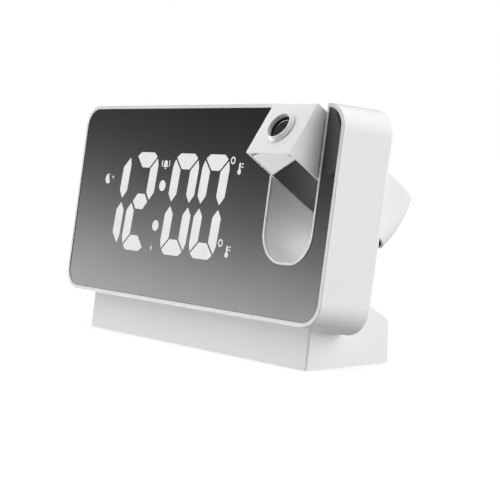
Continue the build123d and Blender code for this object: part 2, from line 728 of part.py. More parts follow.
def base_profile():
    """The base's side view: a leaning front, the body's seat and the rear wedge."""
    Polygon(
        (-BASE_D / 2, PAD_PROUD),
        (BASE_HEAD.Y, BASE_HEAD.Z),
        (BODY_LOW_BACK.Y, BODY_LOW_BACK.Z),
        (WEDGE_TOP.Y, WEDGE_TOP.Z),
        (BASE_D / 2, BASE_BACK_H),
        (BASE_D / 2, PAD_PROUD),
        align=None,
    )


with BuildPart() as base_form:
    with BuildSketch(Plane.YZ):
        base_profile()
    extrude(amount=BASE_W / 2, both=True)
    rear_edges = base_form.edges().filter_by(Axis.X).sort_by(Axis.Y)[-2:]
    fillet(rear_edges.sort_by(Axis.Z)[-1], BASE_BACK_R)

BASE_POST_X = BASE_INNER_W / 2 - 2 * POST_R
BASE_POST_Y = BASE_PLATE_D / 2 - POST_R - BASE_WALL / 2
BASE_MIDDLE_Y = BASE_PLATE_FRONT + BASE_PLATE_D / 2
BASE_POSTS = [
    (sx * BASE_POST_X, BASE_MIDDLE_Y + sy * BASE_POST_Y) for sx in (-1, 1) for sy in (-1, 1)
]
BASE_POSTS_SEEN_FROM_BELOW = [(x, -y) for x, y in BASE_POSTS]

with BuildPart() as base_post_group:
    with BuildSketch(Plane.XY.offset(BASE_PLATE_Z)):
        with Locations(*BASE_POSTS):
            Circle(POST_R)
    extrude(amount=BODY_H)
    add(base_form.part, mode=Mode.INTERSECT)
    with BuildSketch(Plane.XY.offset(BASE_PLATE_Z)):
        with Locations(*BASE_POSTS):
            Circle(PILOT_R)
    extrude(amount=BASE_BACK_H / 2, mode=Mode.SUBTRACT)

with BuildPart() as base_shell:
    add(base_form.part)
    fillet(base_shell.faces().sort_by(Axis.Y)[0].edges().filter_by(Axis.X, reverse=True), BASE_EDGE)
    with BuildSketch(Plane.YZ):
        base_profile()
        offset(amount=-BASE_WALL, kind=Kind.INTERSECTION, mode=Mode.REPLACE)
    extrude(amount=BASE_W / 2 - BASE_WALL, both=True, mode=Mode.SUBTRACT)
    with BuildSketch(Plane.XY.offset(PAD_PROUD)):
        with Locations((0, BASE_PLATE_FRONT)):
            Rectangle(BASE_INNER_W, BASE_PLATE_D, align=(Align.CENTER, Align.MIN))
    extrude(amount=BASE_WALL + BASE_PLATE_T / 2, mode=Mode.SUBTRACT)
    add(base_post_group.part)
    with BuildSketch(seat_plane(0)):
        with Locations(*STAND_SCREWS):
            Circle(SCREW_HOLE_R)
    extrude(amount=-2 * BASE_WALL, mode=Mode.SUBTRACT)

base_under = Plane(origin=(0, 0, PAD_PROUD), x_dir=RIGHT, z_dir=(0, 0, -1))

with BuildPart() as base_plate:
    with BuildSketch(Plane.XY.offset(PAD_PROUD)):
        with Locations((0, BASE_MIDDLE_Y)):
            Rectangle(BASE_INNER_W - 2 * FIT, BASE_PLATE_D - 2 * FIT)
    extrude(amount=BASE_PLATE_T)
    with BuildSketch(Plane.XY.offset(PAD_PROUD)):
        RectangleRounded(PAD_SIZE[0] + 2 * FIT, PAD_SIZE[1] + 2 * FIT, PAD_R + FIT)
    extrude(amount=PAD_T - PAD_PROUD, mode=Mode.SUBTRACT)
    with Locations(base_under):
        with Locations(*BASE_POSTS_SEEN_FROM_BELOW):
            CounterBoreHole(SCREW_HOLE_R, HEAD_WELL_R, HEAD_WELL_D, BASE_PLATE_T)

with BuildPart() as non_slip_pad:
    with BuildSketch(Plane.XY):
        RectangleRounded(PAD_SIZE[0], PAD_SIZE[1], PAD_R)
    extrude(amount=PAD_T)

with BuildPart() as base_weight:
    with BuildSketch(Plane.XY.offset(BASE_PLATE_Z)):
        Rectangle(WEIGHT_SIZE[0], WEIGHT_SIZE[1])
    extrude(amount=WEIGHT_SIZE[2])

base_screws = screw_group(
    base_under, BASE_POSTS_SEEN_FROM_BELOW, HEAD_WELL_D, BASE_PLATE_T + BASE_SCREW_BITE
)
stand_screws = screw_group(
    Plane(origin=seat_plane(-BASE_WALL).origin, x_dir=RIGHT, z_dir=-SEAT_UP),
    STAND_SCREWS,
    0,
    BASE_WALL + WALL + STAND_BOSS_H - SCREW_GAP,
)

# ------------------------------------------------------------------ arm: shell and inlay
def arm_layer(inset, front, back):
    """The arm's form inset by a wall, between two depths from its front face."""
    with BuildPart() as layer:
        with BuildSketch(arm_face_plane(front - ARM_FRONT)):
            with Locations((0, NOSE - inset)):
                RectangleRounded(
                    ARM_W - 2 * inset,
                    4 * TAIL_R,
                    INLAY_ROUND + INLAY_BORDER - inset,
                    align=(Align.CENTER, Align.MAX),
                )
        extrude(amount=front - back)
        add(arm_form(inset), mode=Mode.INTERSECT)
    return layer.part


INLAY_BACK = INLAY_RECESS + INLAY_T
arm_block = arm_form(0)
arm_cavity = arm_form(ARM_WALL)
inlay_rebate = arm_layer(INLAY_BORDER, 0, INLAY_BACK)

with BuildPart() as arm_shell:
    add(arm_block)
    fillet(arm_shell.faces().sort_by(Axis((0, 0, 0), ARM_NOSE))[-1].edges(), ARM_EDGE)
    add(arm_cavity, mode=Mode.SUBTRACT)
    add(inlay_rebate, mode=Mode.SUBTRACT)
    # holes for the axles and the focus ring's hub
    with BuildSketch(arm_side_plane(0)):
        Circle(AXLE_R + RUNNING_FIT)
    extrude(amount=ARM_W, both=True, mode=Mode.SUBTRACT)
    with BuildSketch(lens_plane(NOSE)):
        Circle(RING_HUB_R + RUN)
    extrude(amount=-2 * ARM_WALL, mode=Mode.SUBTRACT)

with BuildPart() as arm_inlay:
    add(arm_layer(INLAY_BORDER + FIT, INLAY_RECESS, INLAY_BACK))

# ------------------------------------------------------------------ arm: axles and bushes
SIDES = {"left": -1, "right": 1}
BUSH_END = SLOT_W / 2 + TUB_WALL + BUSH_L
NUT_END = BUSH_END + WASHER_T + RUN + NUT_T


def axle_plane(side, x):
    """Square to the axles, x out from the arm's middle on one side, facing outwards."""
    origin = at(ARM_X, PIVOT_V, PIVOT_W) + RIGHT * side * x
    return Plane(origin=origin, x_dir=BACK, z_dir=RIGHT * side)


def tube(plane, outer_r, inner_r, length):
    """A tube that stands on the plane, in the active part."""
    with Locations(plane):
        Cylinder(outer_r, length, align=STANDING)
        Cylinder(inner_r, length, align=STANDING, mode=Mode.SUBTRACT)


axles = {}
bushes = {}
for side_name, side in SIDES.items():
    wall_in = ARM_W / 2 - ARM_WALL
    axle_end = (NUT_END if side > 0 else BUSH_END) + AXLE_TIP
    with BuildPart() as axle:
        tube(axle_plane(side, wall_in - AXLE_FLANGE_T), AXLE_FLANGE_R, AXLE_BORE_R, AXLE_FLANGE_T)
        tube(axle_plane(side, wall_in), AXLE_R, AXLE_BORE_R, axle_end - wall_in)
    axles[side_name] = axle
    with BuildPart() as bush:
        bore_r = AXLE_R + RUNNING_FIT
        tube(axle_plane(side, SLOT_W / 2), BUSH_R, bore_r, TUB_WALL + BUSH_L)
        tube(axle_plane(side, SLOT_W / 2 + TUB_WALL), BUSH_FLANGE_R, bore_r, BUSH_FLANGE_T)
    bushes[side_name] = bush

with BuildPart() as friction_washer:
    tube(axle_plane(1, BUSH_END), BUSH_R, AXLE_R + RUNNING_FIT, WASHER_T)

with BuildPart() as axle_nut:
    with BuildSketch(axle_plane(1, NUT_END - NUT_T)):
        RegularPolygon(NUT_R, 6)
        Circle(AXLE_R + RUNNING_FIT, mode=Mode.SUBTRACT)
    extrude(amount=NUT_T)

# ------------------------------------------------------------------ arm: lens and lamp
# From the lens end: focus ring, lens cell in the barrel, slide, condenser and lamp.
LENS_AXIS = Axis(in_arm(0, AXIS_R, 0), ARM_NOSE)
BARREL_FRONT = NOSE - ARM_WALL
BARREL_REAR = BARREL_FRONT - BARREL_L
LAMP_FRONT = BARREL_REAR - SLIDE_T
LAMP_REAR = LAMP_FRONT - LAMP_BOX_L
CELL_FRONT = NOSE + RING_H - LENS_CELL_SET
CELL_BORE_R = LENS_R + RUNNING_FIT


def lens_body(radius, seat, edge_t, front_bulge, back_bulge):
    """A round lens about the lens axis whose back edge seats at t = seat."""
    front = seat + edge_t
    with BuildPart() as lens:
        with BuildSketch(arm_face_plane(AXIS_R)):
            with BuildLine():
                Line((0, seat - back_bulge), (0, front + front_bulge))
                if front_bulge:
                    chord = sqrt(radius**2 + front_bulge**2) / 2
                    ball = chord**2 * 2 / front_bulge
                    RadiusArc((0, front + front_bulge), (radius, front), ball)
                else:
                    Line((0, front), (radius, front))
                Line((radius, front), (radius, seat))
                if back_bulge:
                    chord = sqrt(radius**2 + back_bulge**2) / 2
                    ball = chord**2 * 2 / back_bulge
                    RadiusArc((radius, seat), (0, seat - back_bulge), ball)
                else:
                    Line((radius, seat), (0, seat))
            make_face()
        revolve(axis=LENS_AXIS)
    return lens


with BuildPart() as focus_ring:
    with BuildSketch(arm_face_plane(AXIS_R)):
        with BuildLine():
            Polyline(
                (LENS_CELL_R + RUNNING_FIT, BARREL_FRONT + RUN),
                (RING_HUB_R, BARREL_FRONT + RUN),
                (RING_HUB_R, NOSE + RUN),
                (RING_BASE_R, NOSE + RUN),
                (RING_TOP_R, NOSE + RING_H),
                (RING_MOUTH_R, NOSE + RING_H),
                (LENS_CELL_R + RUNNING_FIT, CELL_FRONT),
                close=True,
            )
        make_face()
    revolve(axis=LENS_AXIS)

with BuildPart() as lens_cell:
    tube(lens_plane(CELL_FRONT - LENS_CELL_L), LENS_CELL_R, LENS_R - LENS_SHOULDER, LENS_CELL_L)
    with BuildSketch(lens_plane(CELL_FRONT)):
        Circle(CELL_BORE_R)
    extrude(amount=-(LENS_SET + LENS_EDGE_T), mode=Mode.SUBTRACT)

projection_lens = lens_body(LENS_R, CELL_FRONT - LENS_SET - LENS_EDGE_T, LENS_EDGE_T, LENS_BULGE, 0)

with BuildPart() as optics_barrel:
    tube(lens_plane(BARREL_REAR), BARREL_R, LENS_CELL_R + RUNNING_FIT, BARREL_L)

with BuildPart() as time_slide:
    with BuildSketch(lens_plane(LAMP_FRONT)):
        Rectangle(SLIDE_W, SLIDE_W)
    extrude(amount=SLIDE_T)

with BuildPart() as lamp_housing:
    with BuildSketch(lens_plane(LAMP_REAR)):
        RectangleRounded(LAMP_BOX, LAMP_BOX, LAMP_BOX_R)
        Circle(CONDENSER_R + RUNNING_FIT, mode=Mode.SUBTRACT)
    extrude(amount=LAMP_BOX_L)

condenser_lens = lens_body(CONDENSER_R, LAMP_FRONT - CONDENSER_T - RUN, CONDENSER_T, 0, LENS_BULGE)

with BuildPart() as lamp_board:
    with BuildSketch(lens_plane(LAMP_REAR)):
        RectangleRounded(LAMP_BOX, LAMP_BOX, LAMP_BOX_R)
    extrude(amount=-LAMP_BOARD_T)

with BuildPart() as projector_lamp:
    with BuildSketch(lens_plane(LAMP_REAR)):
        Circle(LAMP_R)
    extrude(amount=LAMP_R / 2)
    fillet(projector_lamp.faces().sort_by(LENS_AXIS)[-1].edges(), LAMP_R / 3)

# ------------------------------------------------------------------ files
pieces = {
    "front_frame": front_frame,
    "mirror_panel": mirror_panel,
    "diffuser_sheet": diffuser_sheet,
    "segment_reflector": segment_reflector,
    "segment_leds": segment_leds,
    "display_board": display_board,
    "display_screws": display_screws,
    "main_housing": main_housing,
    "rear_cover": rear_cover,
    "rear_screws": rear_screws,
    "main_board": main_board,
    "main_screws": main_screws,
    "tact_switches": tact_switches,
    "control_chip": control_chip,
    "buzzer": buzzer,
    "board_header": board_header,
    "battery_cell": battery_cell,
    "power_socket": power_socket,
    "snooze_bar": snooze_bar,
    **key_parts,
    "base_shell": base_shell,
    "base_plate": base_plate,
    "non_slip_pad": non_slip_pad,
    "base_weight": base_weight,
    "base_screws": base_screws,
    "stand_screws": stand_screws,
    "arm_shell": arm_shell,
    "arm_inlay": arm_inlay,
    "axle_left": axles["left"],
    "axle_right": axles["right"],
    "bush_left": bushes["left"],
    "bush_right": bushes["right"],
    "friction_washer": friction_washer,
    "axle_nut": axle_nut,
    "focus_ring": focus_ring,
    "lens_cell": lens_cell,
    "projection_lens": projection_lens,
    "optics_barrel": optics_barrel,
    "time_slide": time_slide,
    "lamp_housing": lamp_housing,
    "condenser_lens": condenser_lens,
    "lamp_board": lamp_board,
    "projector_lamp": projector_lamp,
}
for name, piece in pieces.items():
    piece.part.label = name
    export_step(piece.part, f"parts/{name}.step")
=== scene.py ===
import math

import bmesh
import bpy
from mathutils import Matrix, Vector


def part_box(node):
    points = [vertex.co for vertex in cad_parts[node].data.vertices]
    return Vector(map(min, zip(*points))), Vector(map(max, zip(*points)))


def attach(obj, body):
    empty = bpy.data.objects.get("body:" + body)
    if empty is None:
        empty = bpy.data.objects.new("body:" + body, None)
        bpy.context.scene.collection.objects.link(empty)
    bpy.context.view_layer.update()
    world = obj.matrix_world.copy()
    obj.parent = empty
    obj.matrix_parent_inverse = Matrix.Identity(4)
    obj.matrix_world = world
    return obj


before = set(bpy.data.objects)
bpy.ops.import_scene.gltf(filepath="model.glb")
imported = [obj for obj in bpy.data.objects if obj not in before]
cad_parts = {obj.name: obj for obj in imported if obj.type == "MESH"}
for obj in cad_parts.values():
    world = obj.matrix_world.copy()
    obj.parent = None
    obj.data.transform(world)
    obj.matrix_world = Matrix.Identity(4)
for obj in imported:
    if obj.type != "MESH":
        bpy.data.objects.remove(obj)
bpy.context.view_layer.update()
scene = bpy.context.scene
scene.view_settings.view_transform = "Standard"

# The clock's own directions, from the CAD: it leans back, and the arm is tilted in its slot.
MM = 0.001
LEAN = math.radians(8.12)
ARM_TILT = math.radians(63.2)
RIGHT = Vector((1, 0, 0))
BACK = Vector((0, math.cos(LEAN), -math.sin(LEAN)))
UP = Vector((0, math.sin(LEAN), math.cos(LEAN)))
BODY_FOOT = Vector((0, -27.61, 17.95))


def at(x, v, w):
    """The point x to the right, v behind the front face and w up it, all in millimetres."""
    return (BODY_FOOT + RIGHT * x + BACK * v + UP * w) * MM


# ---------------------------------------------------------------- camera
SENSOR = 36.0
FOCAL = 105.7
CLIP_START = 0.01
CAMERA_AT = Vector((0.50910, -0.38416, 0.08836))
CAMERA_RIGHT = Vector((0.6122, 0.7904, 0.0199)).normalized()
CAMERA_AHEAD = Vector((-0.7878, 0.6120, -0.0701)).normalized()


def add_camera():
    data = bpy.data.cameras.new("camera")
    data.sensor_width = SENSOR
    data.lens = FOCAL
    data.clip_start = CLIP_START
    camera = bpy.data.objects.new("camera", data)
    scene.collection.objects.link(camera)
    up = CAMERA_RIGHT.cross(CAMERA_AHEAD)
    turn = Matrix((CAMERA_RIGHT, up, -CAMERA_AHEAD)).transposed()
    camera.matrix_world = Matrix.Translation(CAMERA_AT) @ turn.to_4x4()
    scene.camera = camera


# ---------------------------------------------------------------- node helpers
class Nodes:
    """A node tree with short calls for the nodes used here."""

    def __init__(self, tree):
        self.tree = tree

    def add(self, kind, **settings):
        node = self.tree.nodes.new(kind)
        for key, value in settings.items():
            setattr(node, key, value)
        return node

    def plug(self, value, socket):
        """Joins an output to a socket, or sets the socket to a constant."""
        if isinstance(value, bpy.types.NodeSocket):
            self.tree.links.new(value, socket)
        else:
            socket.default_value = value

    def math(self, operation, a, b=0.0):
        node = self.add("ShaderNodeMath", operation=operation)
        self.plug(a, node.inputs[0])
        self.plug(b, node.inputs[1])
        return node.outputs[0]

    def vector(self, operation, a, b):
        """The number that a vector operation gives, such as a dot product or a distance."""
        node = self.add("ShaderNodeVectorMath", operation=operation)
        self.plug(a, node.inputs[0])
        self.plug(b, node.inputs[1])
        return node.outputs["Value"]

    def mix(self, factor, a, b):
        node = self.add("ShaderNodeMix", data_type="RGBA")
        self.plug(factor, node.inputs[0])
        self.plug(a, node.inputs[6])
        self.plug(b, node.inputs[7])
        return node.outputs[2]

    def span(self, value, low, high, start=0.0, end=1.0, smooth=False):
        """Maps start to end onto low to high."""
        node = self.add("ShaderNodeMapRange")
        if smooth:
            node.interpolation_type = "SMOOTHSTEP"
        for name, number in (("From Min", start), ("From Max", end), ("To Min", low), ("To Max", high)):
            node.inputs[name].default_value = number
        self.plug(value, node.inputs["Value"])
        return node.outputs["Result"]

    def soft_step(self, value, middle, softness):
        """Falls from 1 to 0 about the middle, along an S-shaped curve."""
        beyond = self.math("DIVIDE", self.math("SUBTRACT", value, middle), softness)
        return self.math("DIVIDE", 1.0, self.math("ADD", self.math("EXPONENT", beyond), 1.0))

    def ramp(self, factor, stops):
        """A colour ramp of (place, grey or colour) stops."""
        node = self.add("ShaderNodeValToRGB")
        elements = node.color_ramp.elements
        while len(elements) < len(stops):
            elements.new(1.0)
        for element, (place, colour) in zip(elements, stops):
            element.position = place
            element.color = (*rgb(colour), 1.0)
        self.plug(factor, node.inputs["Fac"])
        return node.outputs["Color"]


def rgb(colour):
    return colour if isinstance(colour, tuple) else (colour, colour, colour)


MOTTLE_DETAIL = 3.0
MOTTLE_FROM, MOTTLE_TO = 0.3, 0.7  # the noise at which each tone is reached


class Surface(Nodes):
    """A material on the Principled shader, textured in the object's own space."""

    def __init__(self, name):
        self.material = bpy.data.materials.new(name)
        self.material.use_nodes = True
        super().__init__(self.material.node_tree)
        self.shader = self.tree.nodes["Principled BSDF"]
        self.place = self.add("ShaderNodeTexCoord").outputs["Object"]

    def set(self, **values):
        for name, value in values.items():
            self.plug(value, self.shader.inputs[name.replace("_", " ")])

    def noise(self, scale, detail=2.0, stretch=(1, 1, 1)):
        """A noise texture's factor, scale per metre."""
        mapping = self.add("ShaderNodeMapping")
        mapping.inputs["Scale"].default_value = stretch
        self.plug(self.place, mapping.inputs["Vector"])
        node = self.add("ShaderNodeTexNoise")
        node.inputs["Scale"].default_value = scale
        node.inputs["Detail"].default_value = detail
        self.plug(mapping.outputs["Vector"], node.inputs["Vector"])
        return node.outputs["Fac"]

    def mottle(self, scale, low, high, stretch=(1, 1, 1)):
        """A colour that wanders between two tones."""
        noise = self.noise(scale, MOTTLE_DETAIL, stretch)
        return self.ramp(noise, [(MOTTLE_FROM, low), (MOTTLE_TO, high)])

    def colour(self, scale, low, high, stretch=(1, 1, 1)):
        self.set(Base_Color=self.mottle(scale, low, high, stretch))

    def inside(self, low, high, edge):
        """1 inside a box of the clock's own x, v and w, fading to 0 over the edge outside it."""
        mask = 1.0
        for axis, a, b in zip((RIGHT, BACK, UP), low, high):
            middle = (BODY_FOOT.dot(axis) + (a + b) / 2) * MM
            half = (b - a) / 2 * MM
            along = self.math("SUBTRACT", self.vector("DOT_PRODUCT", self.place, axis), middle)
            away = self.math("ABSOLUTE", along)
            within = self.span(away, 1.0, 0.0, half, half + edge * MM, smooth=True)
            mask = self.math("MULTIPLY", mask, within)
        return mask

    def rough(self, scale, low, high, detail=2.0):
        self.set(Roughness=self.span(self.noise(scale, detail), low, high))

    def grain(self, scale, strength, depth, detail=2.0, stretch=(1, 1, 1)):
        """Bump of the given depth in metres."""
        node = self.add("ShaderNodeBump")
        node.inputs["Strength"].default_value = strength
        node.inputs["Distance"].default_value = depth
        self.plug(self.noise(scale, detail, stretch), node.inputs["Height"])
        self.set(Normal=node.outputs["Normal"])


# ---------------------------------------------------------------- materials
WHITE = (0.755, 0.775)
WHITE_FLOW = 38
# The box about the arm's slot, by x, v and w of its low and high corner, is painted a lighter white inside:
# painted light that brightens the slot's shade.
TUB_LOW, TUB_HIGH = (52.3, 1.4, 20.0), (81.8, 24.5, 90.0)
TUB_EDGE = 0.3
TUB_PAINTED_LIGHT = (0.95, 0.97)
TUB_FLOW = 90
BRUSHED = (1, 1, 9)  # marks much finer upwards than across


def white_plastic(name):
    """Semi-gloss moulded plastic: faint flow in its colour and a very fine grain."""
    s = Surface(name)
    s.rough(240, 0.30, 0.38)
    s.set(IOR=1.46, Specular_IOR_Level=0.3)
    s.grain(3200, 0.08, 0.00004, detail=3)
    return s


def white_gloss():
    s = white_plastic("white_gloss")
    s.colour(WHITE_FLOW, *WHITE)
    return s.material


def white_gloss_slot_painted_light():
    """The same plastic, with painted light: a lighter white inside the arm's slot that brightens its shade.
    """
    s = white_plastic("white_gloss_slot_painted_light")
    # Painted light: inside the slot the plastic takes the lighter tone, which stands in for light in its
    # shade.
    slot = s.inside(TUB_LOW, TUB_HIGH, TUB_EDGE)
    s.set(Base_Color=s.mix(slot, s.mottle(WHITE_FLOW, *WHITE), s.mottle(TUB_FLOW, *TUB_PAINTED_LIGHT)))
    return s.material


def dark_mirror(name, low, high):
    """Dark half-silvered acrylic: a clean reflection with the least haze."""
    s = Surface(name)
    s.colour(30, low, high)
    s.rough(90, 0.015, 0.045, detail=4)
    s.set(Metallic=1.0)
    return s.material


def tinted_mirror():
    return dark_mirror("tinted_mirror", 0.125, 0.135)


def tinted_mirror_inlay():
    """The inlay under the arm's nose, tinted a little deeper."""
    return dark_mirror("tinted_mirror_inlay", 0.076, 0.082)


def diffuser_film():
    s = Surface("diffuser_film")
    s.colour(90, 0.80, 0.86)
    s.rough(260, 0.5, 0.6)
    s.grain(2400, 0.2, 0.00003)
    return s.material


def reflector_white():
    s = Surface("reflector_white")
    s.colour(60, 0.86, 0.92)
    s.rough(200, 0.5, 0.65)
    s.grain(1500, 0.2, 0.00004)
    return s.material


def led_chip():
    """A clear window over pale yellow phosphor."""
    s = Surface("led_chip")
    s.colour(900, (0.80, 0.70, 0.34), (0.95, 0.90, 0.62))
    s.rough(1500, 0.22, 0.4)
    s.set(Coat_Weight=0.6, Coat_Roughness=0.08)
    s.grain(4000, 0.2, 0.00003)
    return s.material


def circuit_board():
    """Green solder mask over a faint net of tracks."""
    s = Surface("circuit_board")
    tracks = s.add("ShaderNodeTexVoronoi", feature="DISTANCE_TO_EDGE", distance="MANHATTAN")
    tracks.inputs["Scale"].default_value = 420
    tracks.inputs["Randomness"].default_value = 0.35
    s.plug(s.place, tracks.inputs["Vector"])
    mask = s.ramp(tracks.outputs["Distance"], [(0.03, (0.05, 0.26, 0.12)), (0.09, (0.018, 0.13, 0.055))])
    s.set(Base_Color=mask, Coat_Weight=0.4, Coat_Roughness=0.25)
    s.rough(700, 0.35, 0.5)
    s.grain(2600, 0.3, 0.00004)
    return s.material


def black_plastic():
    s = Surface("black_plastic")
    s.colour(500, 0.006, 0.014)
    s.rough(900, 0.42, 0.6)
    s.set(Specular_IOR_Level=0.3)
    s.grain(3600, 0.3, 0.00004)
    return s.material


def steel():
    """Zinc-plated steel with fine brush marks."""
    s = Surface("steel")
    s.colour(700, (0.42, 0.43, 0.45), (0.60, 0.61, 0.63), stretch=BRUSHED)
    s.rough(1100, 0.26, 0.42)
    s.set(Metallic=1.0, Anisotropic=0.4)
    s.grain(5000, 0.25, 0.00002, stretch=BRUSHED)
    return s.material


def cell_foil():
    """The battery's crinkled aluminium pouch."""
    s = Surface("cell_foil")
    s.colour(260, (0.56, 0.57, 0.60), (0.72, 0.73, 0.76))
    s.rough(500, 0.28, 0.44)
    s.set(Metallic=1.0)
    s.grain(420, 0.6, 0.00008, detail=4)
    return s.material


def slip_rubber():
    s = Surface("slip_rubber")
    s.colour(420, 0.075, 0.11)
    s.rough(900, 0.7, 0.85)
    s.grain(3200, 0.8, 0.00006, detail=4)
    return s.material


def bearing_plastic():
    """Natural acetal, slightly translucent."""
    s = Surface("bearing_plastic")
    s.colour(200, (0.74, 0.72, 0.64), (0.82, 0.80, 0.74))
    s.rough(600, 0.34, 0.46)
    s.set(Subsurface_Weight=0.2, Subsurface_Scale=0.002)
    s.grain(3000, 0.2, 0.00003)
    return s.material


def lens_glass():
    """Lens glass coloured nearly black: painted shade that keeps it black from outside, with a clean
    reflection.
    """
    s = Surface("lens_glass")
    # Painted shade: the glass itself is coloured nearly black.
    s.colour(400, (0.010, 0.009, 0.014), (0.018, 0.016, 0.024))
    s.rough(500, 0.02, 0.06)
    s.set(IOR=1.6, Transmission_Weight=0.3)
    return s.material


def slide_glass():
    s = Surface("slide_glass")
    s.colour(300, (0.20, 0.22, 0.26), (0.26, 0.28, 0.32))
    s.rough(500, 0.03, 0.07)
    s.set(IOR=1.52, Transmission_Weight=0.7)
    return s.material


def segment_light():
    """The segments' light where it leaves the mirror's face, a little weaker in places."""
    s = Surface("segment_light")
    s.set(
        Emission_Color=s.ramp(s.noise(160), [(0.25, 0.76), (0.75, 0.80)]),
        Emission_Strength=1.0,
        Specular_IOR_Level=0.0,
    )
    s.colour(160, 0.02, 0.03)
    s.rough(300, 0.55, 0.65)
    return s.material


def print_ink():
    """Dark grey ink, worn a little thin."""
    s = Surface("print_ink")
    s.colour(2600, 0.030, 0.075)
    s.rough(1500, 0.5, 0.7)
    s.set(Specular_IOR_Level=0.25)
    return s.material


def recess_shade():
    """Painted shade: the dark bottom of a screw's cross recess, as a flat dark cross."""
    s = Surface("recess_shade")
    s.colour(1800, 0.012, 0.03)
    s.rough(900, 0.5, 0.7)
    s.set(Metallic=0.6)
    return s.material


def floor_paint():
    """A pale lit table that stays white around the clock."""
    s = Surface("floor_paint")
    s.colour(3, 0.44, 0.46)
    s.rough(5, 0.85, 0.95)
    s.set(Specular_IOR_Level=0.0, Emission_Color=(1.0, 1.0, 1.0, 1.0), Emission_Strength=0.6)
    return s.material


FINISHES = {
    white_gloss_slot_painted_light: "front_frame main_housing rear_cover",
    white_gloss: "base_shell base_plate arm_shell focus_ring snooze_bar "
    "time_key alarm_key up_key down_key projector_key",
    tinted_mirror: "mirror_panel",
    tinted_mirror_inlay: "arm_inlay",
    diffuser_film: "diffuser_sheet",
    reflector_white: "segment_reflector",
    led_chip: "segment_leds projector_lamp",
    circuit_board: "display_board main_board lamp_board",
    black_plastic: "tact_switches control_chip buzzer board_header lens_cell optics_barrel lamp_housing",
    steel: "display_screws rear_screws main_screws base_screws stand_screws axle_left axle_right axle_nut "
    "friction_washer base_weight power_socket",
    cell_foil: "battery_cell",
    slip_rubber: "non_slip_pad",
    bearing_plastic: "bush_left bush_right",
    lens_glass: "projection_lens condenser_lens",
    slide_glass: "time_slide",
}


def dress_nodes():
    """Gives every CAD node its finish."""
    for finish, names in FINISHES.items():
        material = finish()
        for name in names.split():
            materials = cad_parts[name].data.materials
            materials.clear()
            materials.append(material)


# ---------------------------------------------------------------- lit display
PANEL_V = 0.3  # the mirror panel's face, behind the clock's front
PLATE_PROUD = 0.03
PLATE_SUNK = 0.02
DISPLAY_X = -23.5
DISPLAY_W = 43.2
DIGIT_W = 19.1
DIGIT_H = 44.3
STROKE = 5.85
BAR = 6.85
WEB = 0.92  # between two segments
SLANT = 0.075
# Shares of the stroke: a side segment's neck above the middle, and how far corners and tips stand in.
NECK_RISE = 0.75
CORNER_IN = 0.76
BAR_TIP_IN = 0.31
SIDE_TIP_IN = 0.21
SEGMENT_ROUND = 0.5
LONGEST_CUT = 0.4  # the share of a side that a rounded corner may take
PAIR_PITCH = 21.6
COLON_SPACE = 30.65
COLON_PITCH = 17.7
COLON_DROP = 1.2
COLON_R = 2.4
TIME = ("bc", "abged", "abcdef", "abcdef")  # the lit segments of 12:00


def digit_segments():
    """Outlines of an upright digit's seven segments about its middle."""
    half_w, half_h = DIGIT_W / 2, DIGIT_H / 2
    inner, level = half_w - STROKE, half_h - BAR
    neck = STROKE * NECK_RISE
    corner = half_w - STROKE * CORNER_IN
    bar_tip, side_tip = half_w - STROKE * BAR_TIP_IN, half_w - STROKE * SIDE_TIP_IN
    bar_end = inner - WEB
    bar_cut = level - bar_end
    side_cut = bar_cut - WEB * math.sqrt(2)
    mid_tip = half_w - STROKE / 2 - WEB
    top = [(-bar_tip, bar_tip + bar_cut), (-corner, half_h), (corner, half_h)]
    top += [(bar_tip, bar_tip + bar_cut), (bar_end, level), (-bar_end, level)]
    side = [(side_tip, side_tip + side_cut), (half_w, half_h - STROKE), (half_w, neck)]
    side += [(half_w - STROKE / 2, WEB), (inner, neck), (inner, inner + side_cut)]
    middle = [(mid_tip, 0), (bar_end, BAR / 2), (-bar_end, BAR / 2)]
    middle += [(-x, -w) for x, w in middle]
    flipped = [(x, -w) for x, w in side]
    return {
        "a": top,
        "b": side,
        "c": flipped,
        "d": [(x, -w) for x, w in top],
        "e": [(-x, w) for x, w in flipped],
        "f": [(-x, w) for x, w in side],
        "g": middle,
    }


def soften(outline, radius, steps=4):
    """The outline with its corners rounded."""
    points = []
    for i, corner in enumerate(outline):
        corner = Vector(corner)
        before = Vector(outline[i - 1]) - corner
        after = Vector(outline[(i + 1) % len(outline)]) - corner
        reach = min(radius, before.length * LONGEST_CUT, after.length * LONGEST_CUT)
        start, end = corner + before.normalized() * reach, corner + after.normalized() * reach
        for k in range(steps + 1):
            f = k / steps
            points.append(tuple(start * (1 - f) ** 2 + corner * 2 * f * (1 - f) + end * f * f))
    return points


def arc(x, w, radius, start, end, steps=24):
    """Points on an arc, with its angles in degrees from the right."""
    turns = [math.radians(start + (end - start) * k / steps) for k in range(steps + 1)]
    return [(x + radius * math.cos(t), w + radius * math.sin(t)) for t in turns]


def disc(x, w, radius):
    return arc(x, w, radius, 0, 360)[:-1]


def line(path, width):
    """The outline of a line of even width along a path."""
    path = [Vector(p) for p in path]
    sides = []
    for i, point in enumerate(path):
        along = (path[min(i + 1, len(path) - 1)] - path[max(i - 1, 0)]).normalized()
        sides.append((point, Vector((-along.y, along.x)) * width / 2))
    return [tuple(p + s) for p, s in sides] + [tuple(p - s) for p, s in reversed(sides)]


def shifted(outline, x, w):
    return [(x + px, w + pw) for px, pw in outline]


def new_object(name, bm, material):
    """An object of the mesh, in its material and in the scene."""
    mesh = bpy.data.meshes.new(name)
    bm.to_mesh(mesh)
    bm.free()
    mesh.materials.append(material)
    thing = bpy.data.objects.new(name, mesh)
    scene.collection.objects.link(thing)
    return thing


